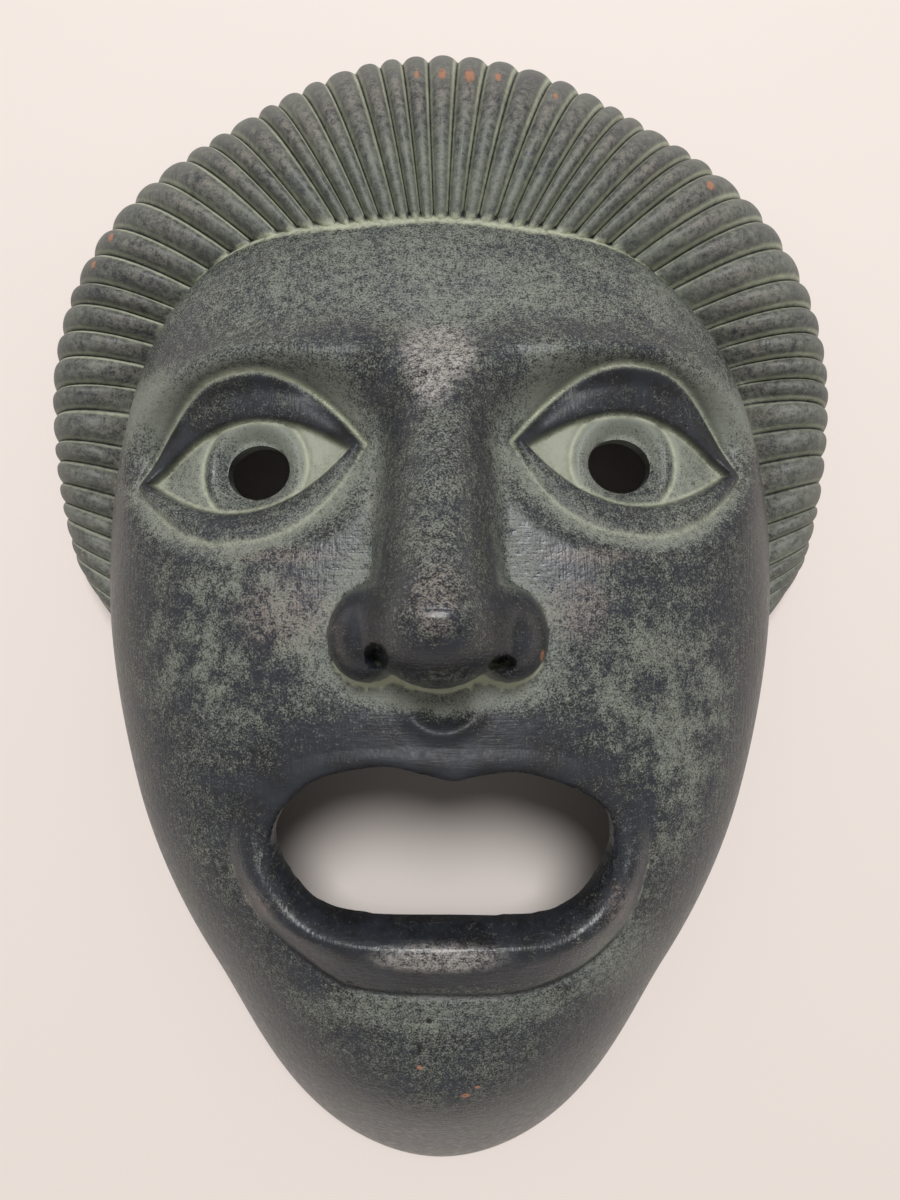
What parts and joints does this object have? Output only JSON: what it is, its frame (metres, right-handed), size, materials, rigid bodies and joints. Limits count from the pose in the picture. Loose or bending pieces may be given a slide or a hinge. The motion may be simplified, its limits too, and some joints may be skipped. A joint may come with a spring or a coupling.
{
  "type": "greek theatre mask",
  "caption": "Hollow moulded theatre mask with a gaping mouth, pierced pupils and a band of ribbed hair, open at the back.",
  "frame": {"origin": "on the plane of the back rim, in the middle of the outline", "axes": "+Z out of the face, +Y from the chin to the crown, +X to the right as one looks at the face"},
  "size_m": [0.196, 0.2788, 0.0938],
  "materials": {
    "patinated_clay": "satin dark slate coat over fired clay, with pale green in the creases"
  },
  "bodies": {
    "root": {"mask": "patinated_clay"}
  },
  "joints": []
}
